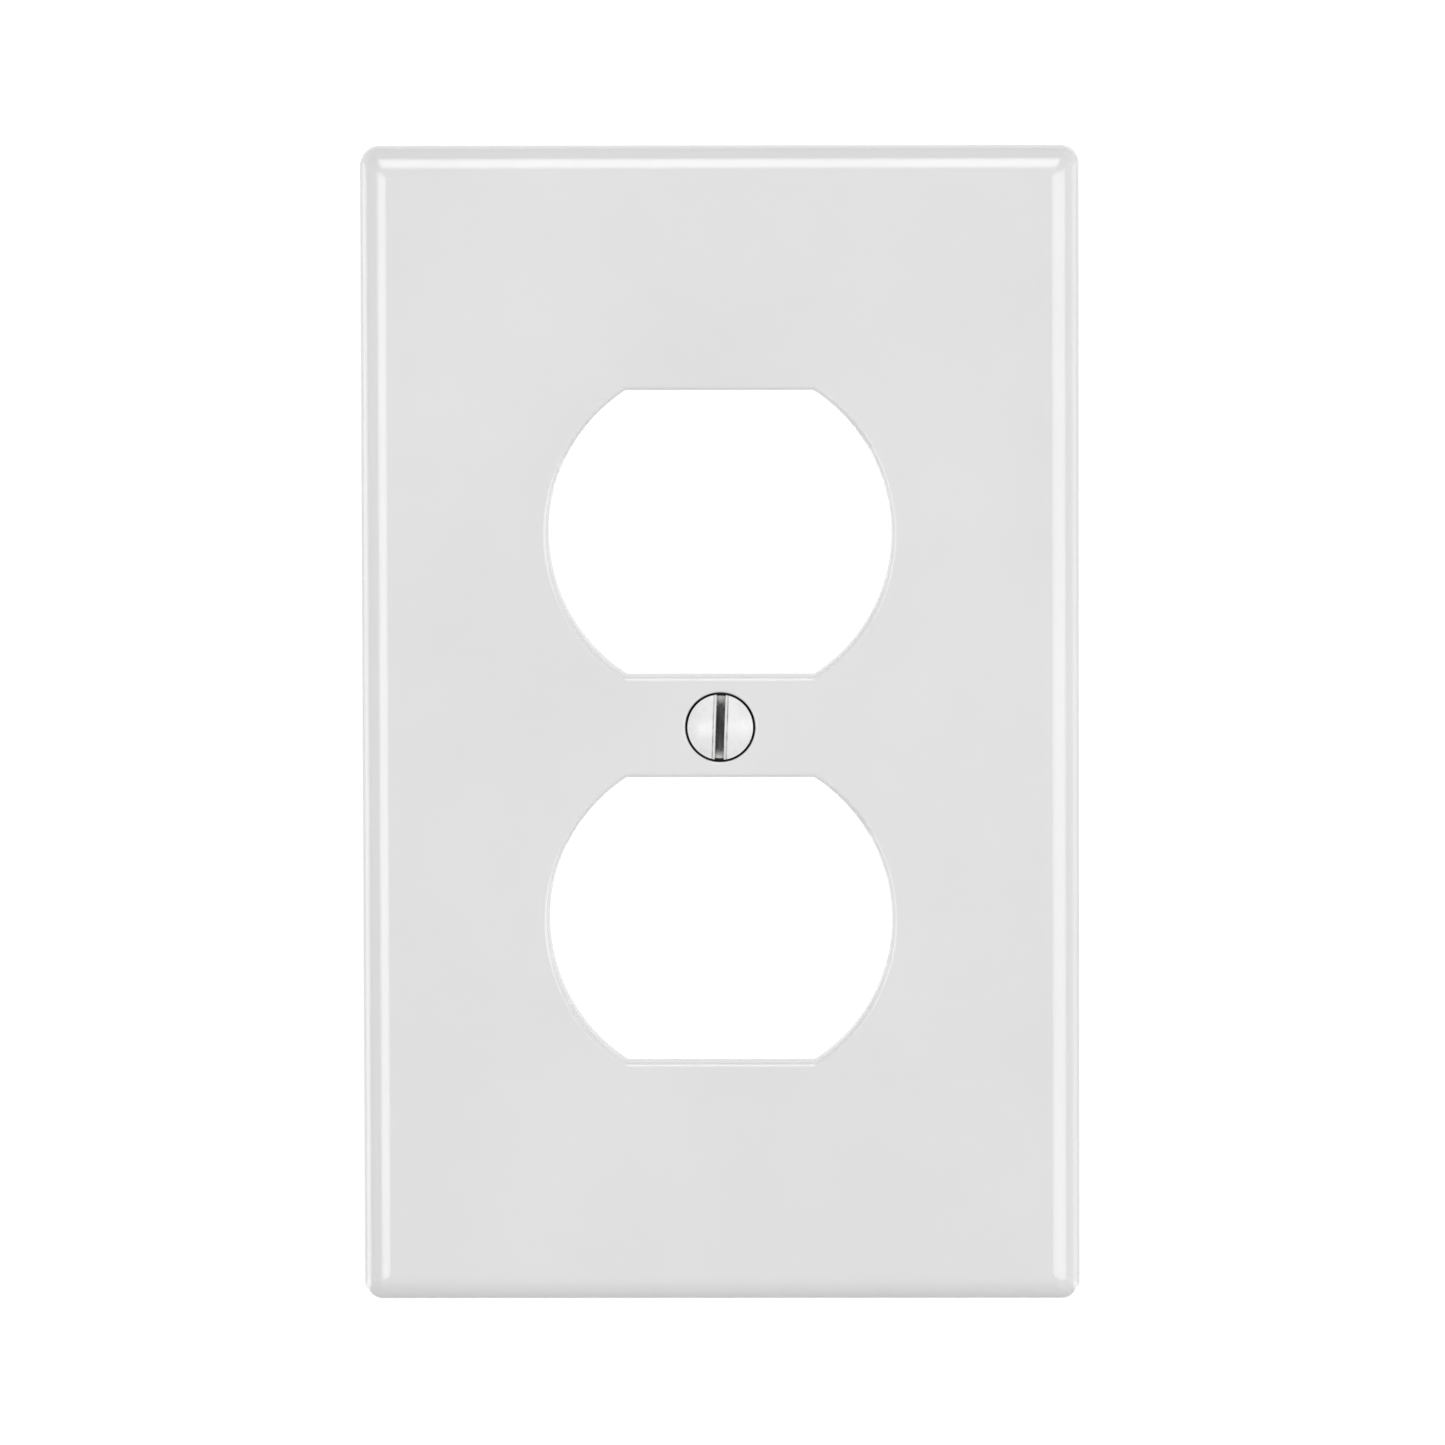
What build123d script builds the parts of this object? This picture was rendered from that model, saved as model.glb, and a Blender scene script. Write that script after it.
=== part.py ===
from build123d import *
from math import radians, tan
import os

# Duplex wall plate and its centre screw, in millimetres.
# X runs across the plate, Z up its length, and the front faces -Y. The origin is on the
# screw's axis, in the plane of the wall that the rim lies on.

# Plate
PLATE_WIDTH = 71.8
PLATE_HEIGHT = 115.9
PLATE_DEPTH = 5.6
CORNER_RADIUS = 1.8
FRONT_ROUND = 2.7
WEB = 2.3
RIM = 2.0
HOLLOW_CORNER = 1.2
HOLLOW_ROOT = 0.5

# Openings for the two receptacle faces
OPENING_DIAMETER = 34.4
OPENING_HEIGHT = 28.8
OPENING_SPACING = 38.89
OPENING_CORNER = 0.5
OPENING_EDGE = 0.5
COLLAR_WALL = 1.5
COLLAR_LENGTH = 1.2

# Screw boss, ribs and moulding marks on the back
BOSS_RADIUS = 4.4
BOSS_LENGTH = 1.3
RIB_WIDTH = 1.1
RIB_LENGTH = 1.6
RIB_HEIGHTS = (-43.0, 0.0, 43.0)
EJECTOR_RADIUS = 2.0
EJECTOR_DEPTH = 0.25
EJECTOR_X = 28.5
EJECTOR_Z = 50.0
GATE_RADIUS = 1.1
GATE_LENGTH = 0.3
GATE_Z = 50.0

# Screw: 6-32 oval head, slotted. Depths are measured into the plate from its front face.
HEAD_RADIUS = 3.28
HEAD_DOME = 0.85
HEAD_SINK = 0.05
HEAD_BAND = 0.25
HEAD_HALF_ANGLE = radians(41.0)
NECK_RADIUS = 1.5
THREAD_RADIUS = 1.75
THREAD_START = 3.75
SCREW_LENGTH = 12.7
TIP_CHAMFER = 0.45
SLOT_WIDTH = 0.85
SLOT_DEPTH = 1.25
SLOT_TILT = 2.0
SLOT_LIP = 0.2

# Hole that the screw sits in
SEAT_GAP = 0.08
MOUTH_RADIUS = 3.48
MOUTH_DEPTH = 0.9
MOUTH_EDGE = 0.25
HOLE_RADIUS = 1.95

FRONT = -PLATE_DEPTH
WEB_BACK = FRONT + WEB
WALL_PLANE = Plane((0, 0, 0), x_dir=(1, 0, 0), z_dir=(0, -1, 0))
WEB_PLANE = WALL_PLANE.offset(-WEB_BACK)


def rounded_front(span):
    """Depth by span, with the two corners at the front rounded."""
    blank = Pos(FRONT / 2, 0) * Rectangle(PLATE_DEPTH, span)
    front_corners = blank.vertices().sort_by(Axis.X)[:2]
    return fillet(front_corners, FRONT_ROUND)


def at_corner(edge):
    """Whether an edge of the outside shape belongs to one of the four corners."""
    middle = edge.center()
    from_side = PLATE_WIDTH / 2 - abs(middle.X)
    from_end = PLATE_HEIGHT / 2 - abs(middle.Z)
    return from_side < FRONT_ROUND and from_end < FRONT_ROUND


def plate_blank():
    """The outside shape: rounded long and short edges that meet in softened mitres."""
    from_side = Plane((0, 0, 0), x_dir=(0, 1, 0), z_dir=(1, 0, 0))
    from_end = Plane((0, 0, 0), x_dir=(0, 1, 0), z_dir=(0, 0, -1))
    long_edges = extrude(from_end * rounded_front(PLATE_WIDTH), PLATE_HEIGHT / 2, both=True)
    short_edges = extrude(from_side * rounded_front(PLATE_HEIGHT), PLATE_WIDTH / 2, both=True)
    blank = long_edges & short_edges
    return fillet(blank.edges().filter_by(at_corner), CORNER_RADIUS)


def hollow():
    """The space behind the web, with its corners rounded."""
    width = PLATE_WIDTH - 2 * RIM
    height = PLATE_HEIGHT - 2 * RIM
    outline = WALL_PLANE * RectangleRounded(width, height, HOLLOW_CORNER)
    space = extrude(outline, -WEB_BACK)
    roots = space.faces().sort_by(Axis.Y)[0].edges()
    return fillet(roots, HOLLOW_ROOT)


def opening_outline(margin=0.0):
    """A circle with two flats, grown by the margin all round."""
    circle = Circle(OPENING_DIAMETER / 2 + margin)
    band = Rectangle(OPENING_DIAMETER + 2 * margin, OPENING_HEIGHT + 2 * margin)
    shape = circle & band
    return fillet(shape.vertices(), OPENING_CORNER + margin)


def opening_places():
    """The centres of the upper and lower opening, as places in the outline's own plane."""
    return [Pos(0, OPENING_SPACING / 2), Pos(0, -OPENING_SPACING / 2)]


def collars():
    """Stiffening walls round both openings, behind the web."""
    outlines = [WEB_PLANE * place * opening_outline(COLLAR_WALL) for place in opening_places()]
    return [extrude(outline, -COLLAR_LENGTH) for outline in outlines]


def boss():
    """The round boss that carries the screw hole."""
    return extrude(WEB_PLANE * Circle(BOSS_RADIUS), -BOSS_LENGTH)


def ribs():
    """Ribs across the back, from one side of the rim to the other."""
    width = PLATE_WIDTH - RIM
    shapes = [Pos(0, height) * Rectangle(width, RIB_WIDTH) for height in RIB_HEIGHTS]
    return [extrude(WEB_PLANE * shape, -RIB_LENGTH) for shape in shapes]


def gate_mark():
    """The stub left where the plastic entered the mould."""
    return extrude(WEB_PLANE * Pos(0, GATE_Z) * Circle(GATE_RADIUS), -GATE_LENGTH)


def ejector_marks():
    """Shallow dimples left by the four ejector pins."""
    places = GridLocations(2 * EJECTOR_X, 2 * EJECTOR_Z, 2, 2)
    return [extrude(WEB_PLANE * place * Circle(EJECTOR_RADIUS), EJECTOR_DEPTH) for place in places]


def opening_cutters():
    """Prisms that clear both openings through the whole depth."""
    outlines = [WALL_PLANE * place * opening_outline() for place in opening_places()]
    return [extrude(outline, 2 * PLATE_DEPTH, both=True) for outline in outlines]


def cone_depth(radius):
    """How deep the head's cone lies where it has this radius."""
    return HEAD_SINK + HEAD_BAND + (HEAD_RADIUS - radius) / tan(HEAD_HALF_ANGLE)


def cone_radius(depth):
    """The radius of the head's cone at this depth."""
    return HEAD_RADIUS - (depth - HEAD_SINK - HEAD_BAND) * tan(HEAD_HALF_ANGLE)


def screw_hole():
    """A straight mouth, a shoulder, a cone beside the head's own cone, then a plain hole."""
    outline = Polyline(
        (0, FRONT - 1),
        (MOUTH_RADIUS, FRONT - 1),
        (MOUTH_RADIUS, FRONT + MOUTH_DEPTH),
        (cone_radius(MOUTH_DEPTH) + SEAT_GAP, FRONT + MOUTH_DEPTH),
        (HOLE_RADIUS, FRONT + cone_depth(HOLE_RADIUS - SEAT_GAP)),
        (HOLE_RADIUS, 1),
        (0, 1),
        close=True,
    )
    return revolve(make_face(outline), Axis.Y)


def wall_plate():
    """The moulded cover, in one piece."""
    plate = plate_blank() - hollow()
    plate = plate + collars() + boss() + ribs() + gate_mark()
    plate = plate - opening_cutters() - ejector_marks()
    front_face = plate.faces().filter_by(Axis.Y).sort_by(Axis.Y)[0]
    plate = fillet(front_face.inner_wires().edges(), OPENING_EDGE) - screw_hole()
    front_circles = plate.edges().filter_by(GeomType.CIRCLE).filter_by_position(Axis.Y, FRONT, FRONT)
    mouth = front_circles.sort_by(lambda edge: abs(edge.radius - MOUTH_RADIUS))[0]
    return fillet(mouth, MOUTH_EDGE)


def screw_blank():
    """Domed head, cone, neck and shank with a chamfered tip, turned about the screw's axis."""
    edge = FRONT + HEAD_SINK
    dome_top = edge - HEAD_DOME
    dome_radius = (HEAD_RADIUS**2 + HEAD_DOME**2) / (2 * HEAD_DOME)
    tip = FRONT + SCREW_LENGTH
    thread_step = THREAD_RADIUS - NECK_RADIUS
    dome = RadiusArc((0, dome_top), (HEAD_RADIUS, edge), -dome_radius)
    side = Polyline(
        (HEAD_RADIUS, edge),
        (HEAD_RADIUS, edge + HEAD_BAND),
        (NECK_RADIUS, FRONT + cone_depth(NECK_RADIUS)),
        (NECK_RADIUS, FRONT + THREAD_START - thread_step),
        (THREAD_RADIUS, FRONT + THREAD_START),
        (THREAD_RADIUS, tip - TIP_CHAMFER),
        (THREAD_RADIUS - TIP_CHAMFER, tip),
        (0, tip),
        (0, dome_top),
    )
    return revolve(make_face([dome, side]), Axis.Y)


def slot():
    """The driver slot across the head."""
    floor = FRONT + HEAD_SINK - HEAD_DOME + SLOT_DEPTH
    middle = floor - PLATE_DEPTH / 2
    return Pos(0, middle, 0) * Rot(0, SLOT_TILT, 0) * Box(SLOT_WIDTH, PLATE_DEPTH, 4 * HEAD_RADIUS)


def mounting_screw():
    """The slotted screw, with the lips of its slot softened."""
    screw = screw_blank() - slot()
    lips = screw.edges().filter_by(lambda edge: edge.center().Y < FRONT)
    return fillet(lips, SLOT_LIP)


os.makedirs("parts", exist_ok=True)
export_step(wall_plate(), "parts/wall_plate.step")
export_step(mounting_screw(), "parts/mounting_screw.step")
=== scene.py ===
import math

import bpy
from mathutils import Matrix, Vector


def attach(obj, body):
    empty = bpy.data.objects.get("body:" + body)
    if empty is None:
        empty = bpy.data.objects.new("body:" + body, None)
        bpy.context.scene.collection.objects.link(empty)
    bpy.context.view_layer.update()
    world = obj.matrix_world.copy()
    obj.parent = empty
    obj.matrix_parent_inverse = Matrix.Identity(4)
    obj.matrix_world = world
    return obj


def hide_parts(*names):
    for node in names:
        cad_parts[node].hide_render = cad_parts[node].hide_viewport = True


MM = 0.001

# Camera: degrees right of the front, degrees up, roll in degrees, metres from the origin, lens in
# millimetres, shift as shares of the frame. The origin is the screw's axis in the wall's plane.
CAMERA_AZIMUTH = 1.04
CAMERA_ELEVATION = 5.87
CAMERA_ROLL = -0.16
CAMERA_DISTANCE = 2.021
CAMERA_LENS = 501.7
CAMERA_SHIFT = (0.0009, -0.0006)

# 6-32 screw thread: radii, and places along the screw's axis, in millimetres
PITCH = 0.794
MAJOR = 1.75
MINOR = 1.265
NECK = 1.5
NECK_START = -3.25
SHANK_START = -3.6
THREAD_START = -2.1
TIP = 7.1
TIP_CHAMFER = 0.45
TIP_HOLLOW = 0.08
STEPS_ROUND = 96
STEPS_A_PITCH = 20
SMOOTH_ANGLE = 35

# The flank's two ends, as shares of the way from the crest's middle to the root's middle
FLANK_START = 0.125
FLANK_END = 0.75

# Screw head and its mouth in the plate, in millimetres from the screw's axis and the wall.
# The slot's tilt is in degrees.
SLOT_HALF_WIDTH = 0.425
SLOT_MARGIN = 0.005
SLOT_TILT = 2.0
PAINTED_TO = -5.5
SIDE_BOTTOM = -4.4
HEAD_MARGIN = 0.02
# Painted shade as a fine grey line along a crease on each side of the slot: its place and width
CREASE_PLACE = 0.70
CREASE_CORE = 0.02
CREASE_WIDTH = 0.11
# Painted light in the slot's two ends: where it starts and ends along the slot, and how ragged its
# edge is
SLOT_LIGHT_START = 2.1
SLOT_LIGHT_END = 3.1
SLOT_LIGHT_RAGGED = 0.3
MOUTH_RADIUS = 3.48
# Near-black painted shade in the gap round the screw: how far it spreads out from the mouth, how deep
# it starts and over what depth it fades
GAP_SHADE_SPREAD = 0.075
GAP_SHADE_BOTTOM = -4.3
GAP_SHADE_FADE = 0.4
PLATE_EDGE = 0.25

# The screw's materials, by their places in its material slots; the middle one is bare metal coloured
# near black as painted shade in the slot and round the head in the gap
PAINT, SHADED_STEEL, ZINC = range(3)

# Softboxes, all aimed at the origin: degrees right of the front, degrees up, width and height
# in metres, brightness
LIGHT_DISTANCE = 1.5
SOFTBOXES = {
    "left": (-28, -6, 0.8, 0.6, 4.8),
    "left_far": (-72, 3, 0.9, 1.4, 0.7),
    "left_rim": (-112, -6, 0.8, 0.9, 2.1),
    "right": (37, -6, 1.4, 0.6, 3.85),
    "right_rim": (112, -6, 0.8, 0.9, 1.3),
    "right_far": (84, 3, 0.5, 1.6, 0.9),
    "top": (0, 57, 0.7, 1.05, 5.3),
}

# Floor in metres, far enough down to be out of the main view
FLOOR_HEIGHT = -0.7
FLOOR_RADIUS = 1.2
FLOOR_SIDES = 96

# Brightness of the studio wall behind the object, of its lower part and of the low front, and
# what the camera sees
WALL_BRIGHTNESS = 0.92
LOW_WALL_BRIGHTNESS = 2.2
LOW_FRONT_BRIGHTNESS = 0.15
SEEN_BRIGHTNESS = 1.04

# Where the front fades into the wall behind, and each one's low part into its high part, as
# places on a unit sphere
BEHIND_FADE = (0.0, 0.3)
LOW_FADE = (-0.35, -0.15)


class Nodes:
    """Short ways to add and join shader nodes in one material."""

    def __init__(self, name):
        self.material = bpy.data.materials.new(name)
        self.material.use_nodes = True
        self.tree = self.material.node_tree
        self.shader = self.tree.nodes["Principled BSDF"]
        self.place = self.tree.nodes.new("ShaderNodeTexCoord").outputs["Object"]

    def add(self, kind, **values):
        node = self.tree.nodes.new("ShaderNode" + kind)
        for key, value in values.items():
            setattr(node, key, value)
        return node

    def put(self, socket, value):
        if isinstance(value, bpy.types.NodeSocket):
            self.tree.links.new(value, socket)
        else:
            socket.default_value = value

    def noise(self, scale, detail=4.0, roughness=0.5, stretch=(1, 1, 1)):
        spread = self.add("Mapping")
        self.put(spread.inputs["Vector"], self.place)
        spread.inputs["Scale"].default_value = stretch
        node = self.add("TexNoise")
        self.put(node.inputs["Vector"], spread.outputs["Vector"])
        node.inputs["Scale"].default_value = scale
        node.inputs["Detail"].default_value = detail
        node.inputs["Roughness"].default_value = roughness
        return node.outputs["Fac"]

    def remap(self, value, low, high, out_low, out_high):
        node = self.add("MapRange")
        node.inputs["From Min"].default_value = low
        node.inputs["From Max"].default_value = high
        node.inputs["To Min"].default_value = out_low
        node.inputs["To Max"].default_value = out_high
        self.put(node.inputs["Value"], value)
        return node.outputs["Result"]

    def maths(self, operation, first, second=0.0):
        node = self.add("Math", operation=operation)
        self.put(node.inputs[0], first)
        self.put(node.inputs[1], second)
        return node.outputs["Value"]

    def from_axis(self):
        """Distance from the screw's axis."""
        flat = self.add("VectorMath", operation="MULTIPLY")
        self.put(flat.inputs[0], self.place)
        flat.inputs[1].default_value = (1, 0, 1)
        length = self.add("VectorMath", operation="LENGTH")
        self.put(length.inputs[0], flat.outputs["Vector"])
        return length.outputs["Value"]

    def depth(self):
        """Distance behind the wall's plane: less than 0 in front of it."""
        parts = self.add("SeparateXYZ")
        self.put(parts.inputs["Vector"], self.place)
        return parts.outputs["Y"]

    def slot_place(self, axis):
        """How far from the screw's axis, across the slot (X) or along it (Z)."""
        turned = self.add("Mapping")
        self.put(turned.inputs["Vector"], self.place)
        turned.inputs["Rotation"].default_value = (0, -math.radians(SLOT_TILT), 0)
        parts = self.add("SeparateXYZ")
        self.put(parts.inputs["Vector"], turned.outputs["Vector"])
        return self.maths("ABSOLUTE", parts.outputs[axis])

    def mix(self, share, first, second):
        node = self.add("Mix", data_type="RGBA")
        self.put(node.inputs["Factor"], share)
        self.put(node.inputs["A"], first)
        self.put(node.inputs["B"], second)
        return node.outputs["Result"]

    def bump(self, height, distance, strength=1.0, normal=None):
        node = self.add("Bump")
        node.inputs["Distance"].default_value = distance
        node.inputs["Strength"].default_value = strength
        self.put(node.inputs["Height"], height)
        if normal is not None:
            self.put(node.inputs["Normal"], normal)
        return node.outputs["Normal"]

    def soft_edges(self, radius):
        node = self.add("Bevel", samples=6)
        node.inputs["Radius"].default_value = radius
        return node.outputs["Normal"]

    def finish(self, **sockets):
        for name, value in sockets.items():
            self.put(self.shader.inputs[name.replace("_", " ")], value)
        return self.material


def white_plastic():
    """Glossy moulded white, with near-black painted shade down in the gap round the screw."""
    n = Nodes("white_plastic")
    clouds = n.noise(38, 3.0, 0.6)
    grain = n.noise(900, 4.0, 0.6)
    flow = n.noise(60, 3.0, 0.5, (1.0, 1.0, 0.25))
    tone = n.remap(clouds, 0.3, 0.7, 0.0, 1.0)
    color = n.mix(tone, (0.73, 0.73, 0.73, 1), (0.755, 0.755, 0.755, 1))
    # Painted shade: near-black colour down in the gap round the screw, where the head and the plate
    # shade each other
    in_gap = n.remap(n.from_axis(), MOUTH_RADIUS * MM, (MOUTH_RADIUS + GAP_SHADE_SPREAD) * MM, 1.0, 0.0)
    in_mouth = n.remap(n.depth(), GAP_SHADE_BOTTOM * MM, (GAP_SHADE_BOTTOM + GAP_SHADE_FADE) * MM, 1.0, 0.0)
    color = n.mix(n.maths("MULTIPLY", in_gap, in_mouth), color, (0.04, 0.039, 0.037, 1))
    rough = n.maths("ADD", n.remap(flow, 0.3, 0.7, 0.17, 0.23), n.remap(grain, 0.3, 0.7, -0.03, 0.03))
    normal = n.soft_edges(PLATE_EDGE * MM)
    normal = n.bump(n.noise(260, 2.0, 0.5), 0.012 * MM, 0.6, normal)
    normal = n.bump(grain, 0.004 * MM, 0.7, normal)
    return n.finish(Base_Color=color, Roughness=rough, Normal=normal, IOR=1.5)


def white_enamel():
    """The screw's paint, with painted shade as a fine grey line along a crease on each side of the
    slot.
    """
    n = Nodes("white_enamel")
    tone = n.remap(n.noise(500, 3.0), 0.35, 0.65, 0.0, 1.0)
    color = n.mix(tone, (0.79, 0.79, 0.79, 1), (0.83, 0.83, 0.83, 1))
    # Painted shade: a fine grey line along each side of the slot, just outside its rounded lips
    from_crease = n.maths("ABSOLUTE", n.maths("SUBTRACT", n.slot_place("X"), CREASE_PLACE * MM))
    crease_shade = n.remap(from_crease, CREASE_CORE * MM, CREASE_WIDTH * MM, 1.0, 0.0)
    crease_shade = n.maths("MULTIPLY", crease_shade, n.remap(n.noise(800), 0.4, 0.6, 0.5, 1.0))
    color = n.mix(crease_shade, color, (0.24, 0.24, 0.24, 1))
    rough = n.remap(n.noise(1400, 3.0), 0.3, 0.7, 0.23, 0.33)
    normal = n.bump(n.noise(1100, 2.0), 0.02 * MM, 0.5)
    return n.finish(Base_Color=color, Roughness=rough, Normal=normal, IOR=1.5)


def shaded_steel():
    """Bare metal coloured near black as painted shade, in the slot and round the head in the gap,
    with painted light in the slot's two ends.
    """
    n = Nodes("shaded_steel")
    # Painted shade: bare metal coloured near black where it sits in shade, in the slot and in the gap
    # round the head; the same metal out of sight is bright zinc
    tone = n.remap(n.noise(1500, 4.0, 0.6, (1, 1, 0.3)), 0.35, 0.65, 0.0, 1.0)
    color = n.mix(tone, (0.035, 0.035, 0.036, 1), (0.12, 0.12, 0.122, 1))
    # Painted light: a lighter patch in each end of the slot, where light gets in
    ragged = n.remap(n.noise(1800), 0.3, 0.7, -SLOT_LIGHT_RAGGED * MM, SLOT_LIGHT_RAGGED * MM)
    along = n.maths("ADD", n.slot_place("Z"), ragged)
    end_light = n.remap(along, SLOT_LIGHT_START * MM, SLOT_LIGHT_END * MM, 0.0, 0.8)
    color = n.mix(end_light, color, (0.62, 0.62, 0.61, 1))
    rough = n.remap(n.noise(2500, 3.0), 0.3, 0.7, 0.42, 0.62)
    normal = n.bump(n.noise(3000, 3.0, 0.5, (1, 1, 0.2)), 0.01 * MM, 0.6)
    return n.finish(Base_Color=color, Metallic=0.3, Roughness=rough, Normal=normal)


def zinc_plate():
    """Bright zinc plating on the shank, and on the head's cone out of sight."""
    n = Nodes("zinc_plate")
    tone = n.remap(n.noise(700, 4.0, 0.6), 0.35, 0.65, 0.0, 1.0)
    color = n.mix(tone, (0.60, 0.61, 0.62, 1), (0.74, 0.75, 0.77, 1))
    rough = n.remap(n.noise(1600, 4.0), 0.3, 0.7, 0.24, 0.42)
    normal = n.bump(n.noise(2600, 3.0), 0.006 * MM, 0.6)
    return n.finish(Base_Color=color, Metallic=1.0, Roughness=rough, Normal=normal)


def pale_floor():
    """Matt light grey, almost even."""
    n = Nodes("pale_floor")
    tone = n.remap(n.noise(3.0, 4.0), 0.3, 0.7, 0.0, 1.0)
    color = n.mix(tone, (0.56, 0.56, 0.56, 1), (0.60, 0.60, 0.60, 1))
    return n.finish(Base_Color=color, Roughness=0.8)


def thread_radius(along, turn):
    """Radius of the shank in mm, from the distance along the axis and the turn, 0 to 1."""
    phase = (along / PITCH - turn) % 1.0
    from_crest = abs(phase - 0.5) * 2.0
    flank = min(max((from_crest - FLANK_START) / (FLANK_END - FLANK_START), 0.0), 1.0)
    radius = MAJOR - (MAJOR - MINOR) * flank
    into_thread = min(max((along - THREAD_START) / PITCH, 0.0), 1.0)
    root = NECK + (MINOR - NECK) * into_thread
    crest = NECK + max(along - THREAD_START, 0.0)
    radius = min(max(radius, root), crest)
    return min(radius, MAJOR - max(along - (TIP - TIP_CHAMFER), 0.0))


def threaded_shank():
    """Vertices and faces of the neck, the helical thread and the tip, which is slightly hollow."""
    rows = round((TIP - SHANK_START) / PITCH * STEPS_A_PITCH)
    points = []
    for row in range(rows + 1):
        along = SHANK_START + (TIP - SHANK_START) * row / rows
        for step in range(STEPS_ROUND):
            turn = step / STEPS_ROUND
            radius = thread_radius(along, turn)
            angle = 2 * math.pi * turn
            points.append((radius * math.sin(angle), along, radius * math.cos(angle)))
    faces = []
    for row in range(rows):
        for step in range(STEPS_ROUND):
            after = (step + 1) % STEPS_ROUND
            low = row * STEPS_ROUND
            high = low + STEPS_ROUND
            faces.append((low + step, low + after, high + after, high + step))
    last = rows * STEPS_ROUND
    points.append((0.0, TIP - TIP_HOLLOW, 0.0))
    for step in range(STEPS_ROUND):
        faces.append((last + step, last + (step + 1) % STEPS_ROUND, len(points) - 1))
    return [Vector(p) * MM for p in points], faces


def head_material(middle):
    """Which of the screw's materials a face of its head takes, from the face's middle."""
    tilt = math.radians(SLOT_TILT)
    across = (middle.x * math.cos(tilt) - middle.z * math.sin(tilt)) / MM
    # Faces in the slot and the head's side down in the gap take the near-black metal of painted shade
    if abs(across) < SLOT_HALF_WIDTH + SLOT_MARGIN:
        return SHADED_STEEL
    if middle.y < PAINTED_TO * MM:
        return PAINT
    if middle.y > SIDE_BOTTOM * MM:
        return ZINC
    return SHADED_STEEL


def screw_head(source):
    """Vertices, faces and material slots of the head, down to where the neck starts."""
    points = []
    faces = []
    slots = []
    kept = {}
    for polygon in source.polygons:
        corners = [source.vertices[i].co for i in polygon.vertices]
        if max(corner.y for corner in corners) > (NECK_START + HEAD_MARGIN) * MM:
            continue
        for i, corner in zip(polygon.vertices, corners):
            if i not in kept:
                kept[i] = len(points)
                points.append(corner.copy())
        faces.append(tuple(kept[i] for i in polygon.vertices))
        slots.append(head_material(polygon.center))
    return points, faces, slots


def build_screw(node):
    """The screw's own head, with a real thread in place of the plain shank."""
    points, faces, slots = screw_head(node.data)
    start = len(points)
    more_points, more_faces = threaded_shank()
    points += more_points
    faces += [tuple(start + i for i in face) for face in more_faces]
    slots += [ZINC] * len(more_faces)
    mesh = bpy.data.meshes.new("screw")
    mesh.from_pydata(points, [], faces)
    for material in (white_enamel(), shaded_steel(), zinc_plate()):
        mesh.materials.append(material)
    mesh.polygons.foreach_set("material_index", slots)
    mesh.update()
    mesh.shade_smooth()
    mesh.set_sharp_from_angle(angle=math.radians(SMOOTH_ANGLE))
    screw = bpy.data.objects.new("screw", mesh)
    bpy.context.scene.collection.objects.link(screw)
    return screw


def build_floor():
    place = (0, 0, FLOOR_HEIGHT)
    bpy.ops.mesh.primitive_circle_add(
        vertices=FLOOR_SIDES, radius=FLOOR_RADIUS, fill_type="NGON", location=place
    )
    floor = bpy.context.object
    floor.name = "floor"
    floor.data.materials.append(pale_floor())


def direction(azimuth, elevation):
    """A unit vector, from degrees right of the front and degrees up."""
    around, up = math.radians(azimuth), math.radians(elevation)
    level = math.cos(up)
    return Vector((math.sin(around) * level, -math.cos(around) * level, math.sin(up)))


def softbox(name, place, size, brightness):
    """An area light aimed at the origin, which the camera doesn't see."""
    data = bpy.data.lights.new(name, "AREA")
    data.shape = "RECTANGLE"
    data.size, data.size_y = size
    data.energy = brightness * math.pi * size[0] * size[1]
    light = bpy.data.objects.new(name, data)
    light.location = place
    light.rotation_euler = (-place).to_track_quat("-Z", "Y").to_euler()
    light.visible_camera = False
    bpy.context.scene.collection.objects.link(light)


def build_lights():
    for name, (azimuth, elevation, width, height, brightness) in SOFTBOXES.items():
        place = direction(azimuth, elevation) * LIGHT_DISTANCE
        softbox(name, place, (width, height), brightness)


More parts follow.
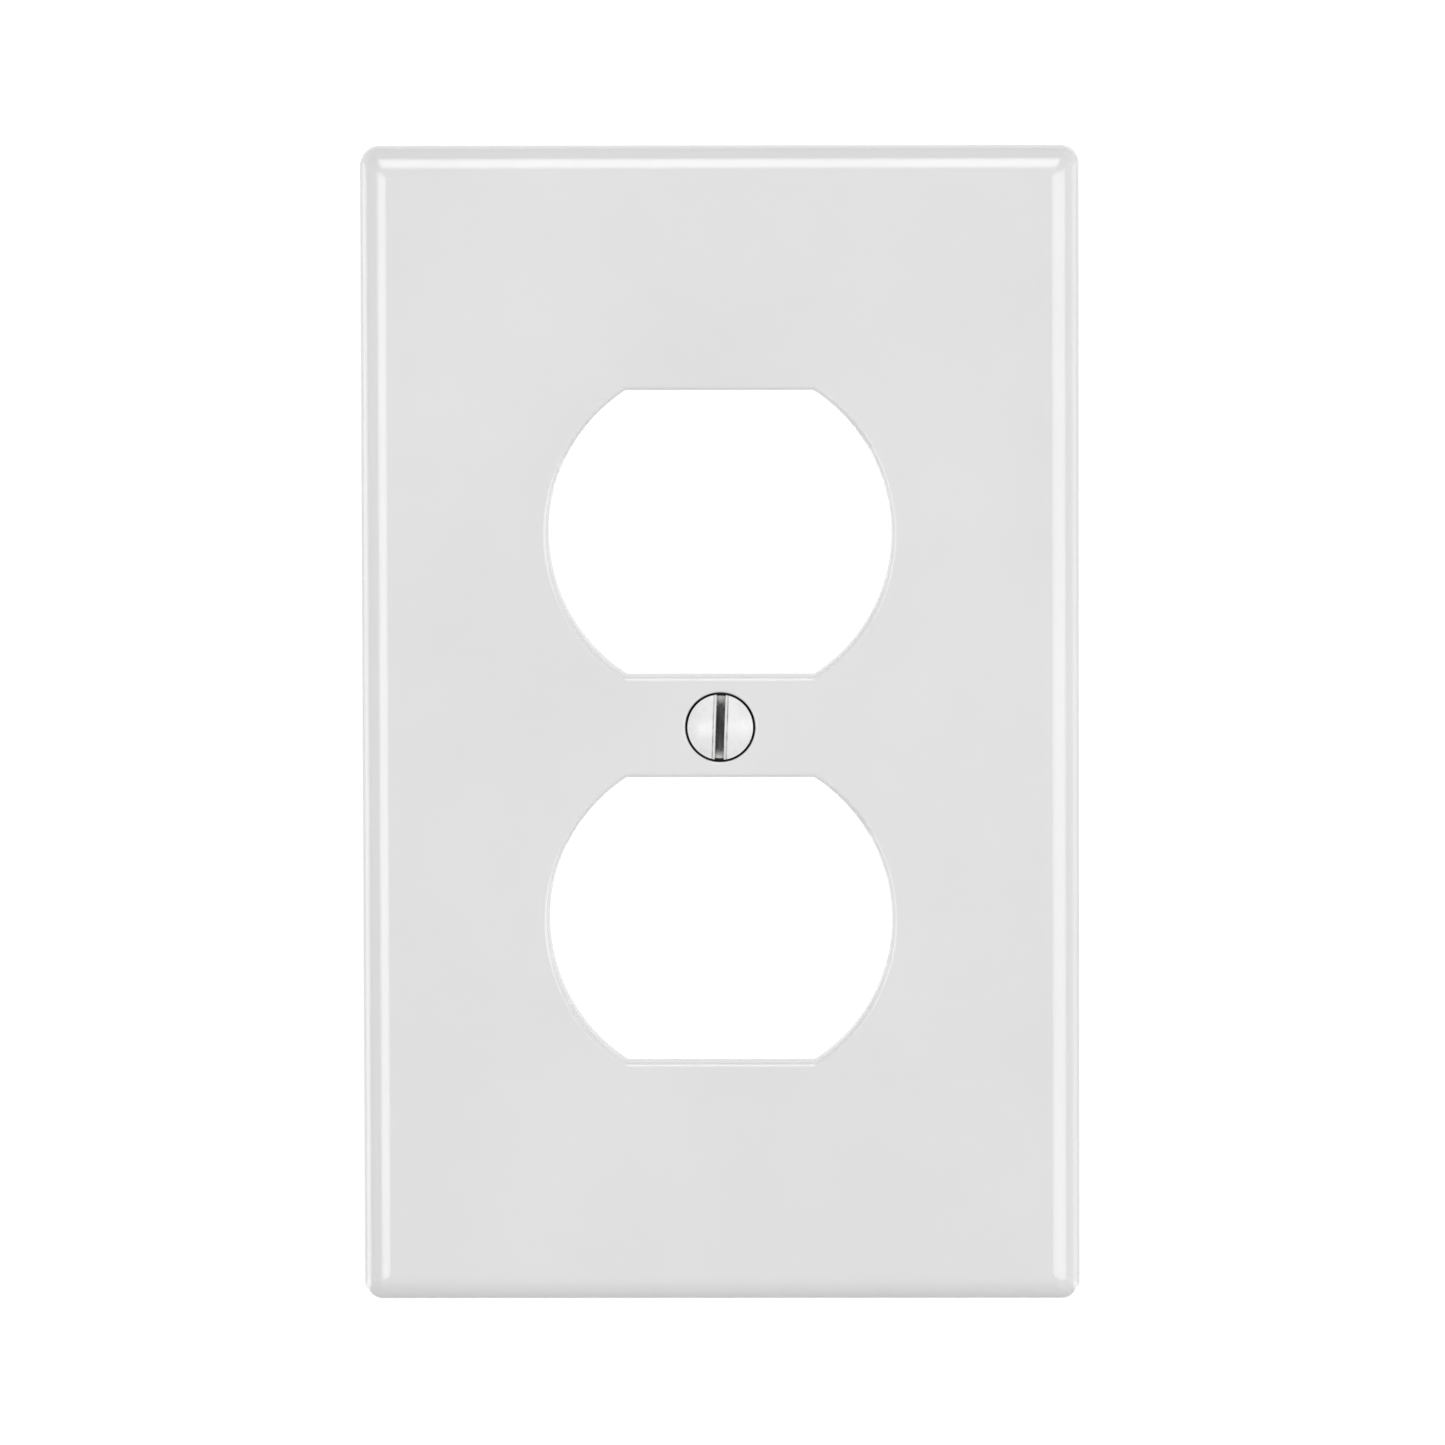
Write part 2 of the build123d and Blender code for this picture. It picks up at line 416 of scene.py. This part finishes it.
def build_world():
    """A bright wall behind the object and near darkness in front. The camera sees plain white."""
    world = bpy.data.worlds.new("studio")
    world.use_nodes = True
    bpy.context.scene.world = world
    tree = world.node_tree
    background = tree.nodes["Background"]
    background.inputs["Color"].default_value = (1, 1, 1, 1)
    coords = tree.nodes.new("ShaderNodeTexCoord")
    split = tree.nodes.new("ShaderNodeSeparateXYZ")
    tree.links.new(coords.outputs["Generated"], split.inputs["Vector"])

    def ramp(value, fade, low, high):
        node = tree.nodes.new("ShaderNodeMapRange")
        node.interpolation_type = "SMOOTHSTEP"
        numbers = {"From Min": fade[0], "From Max": fade[1], "To Min": low, "To Max": high}
        for name, number in numbers.items():
            node.inputs[name].default_value = number
        tree.links.new(value, node.inputs["Value"])
        return node.outputs["Result"]

    def blend(share, first, second):
        node = tree.nodes.new("ShaderNodeMix")
        for name, value in (("Factor", share), ("A", first), ("B", second)):
            if isinstance(value, bpy.types.NodeSocket):
                tree.links.new(value, node.inputs[name])
            else:
                node.inputs[name].default_value = value
        return node.outputs["Result"]

    behind = ramp(split.outputs["Y"], BEHIND_FADE, 0.0, 1.0)
    wall = ramp(split.outputs["Z"], LOW_FADE, LOW_WALL_BRIGHTNESS, WALL_BRIGHTNESS)
    front = ramp(split.outputs["Z"], LOW_FADE, LOW_FRONT_BRIGHTNESS, 0.0)
    seen = tree.nodes.new("ShaderNodeLightPath").outputs["Is Camera Ray"]
    strength = blend(seen, blend(behind, front, wall), SEEN_BRIGHTNESS)
    tree.links.new(strength, background.inputs["Strength"])


def build_camera():
    out = direction(CAMERA_AZIMUTH, CAMERA_ELEVATION)
    data = bpy.data.cameras.new("camera")
    data.sensor_width = 36.0
    data.lens = CAMERA_LENS
    data.shift_x, data.shift_y = CAMERA_SHIFT
    data.clip_start = 0.01
    camera = bpy.data.objects.new("camera", data)
    turn = (-out).to_track_quat("-Z", "Y").to_matrix().to_4x4()
    roll = Matrix.Rotation(math.radians(CAMERA_ROLL), 4, "Z")
    camera.matrix_world = Matrix.Translation(out * CAMERA_DISTANCE) @ turn @ roll
    bpy.context.scene.collection.objects.link(camera)
    bpy.context.scene.camera = camera


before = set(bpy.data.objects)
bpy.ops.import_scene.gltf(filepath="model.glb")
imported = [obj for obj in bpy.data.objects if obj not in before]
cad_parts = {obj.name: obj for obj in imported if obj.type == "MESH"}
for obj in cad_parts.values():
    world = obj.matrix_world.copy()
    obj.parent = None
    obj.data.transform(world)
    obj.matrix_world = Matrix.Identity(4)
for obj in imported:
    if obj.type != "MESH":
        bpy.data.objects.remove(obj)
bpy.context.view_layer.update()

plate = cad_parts["wall_plate"]
plate.data.materials.clear()
plate.data.materials.append(white_plastic())

screw = build_screw(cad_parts["mounting_screw"])
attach(screw, "screw")
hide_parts("mounting_screw")

build_floor()
build_lights()
build_world()
build_camera()
bpy.context.scene.view_settings.view_transform = "Standard"
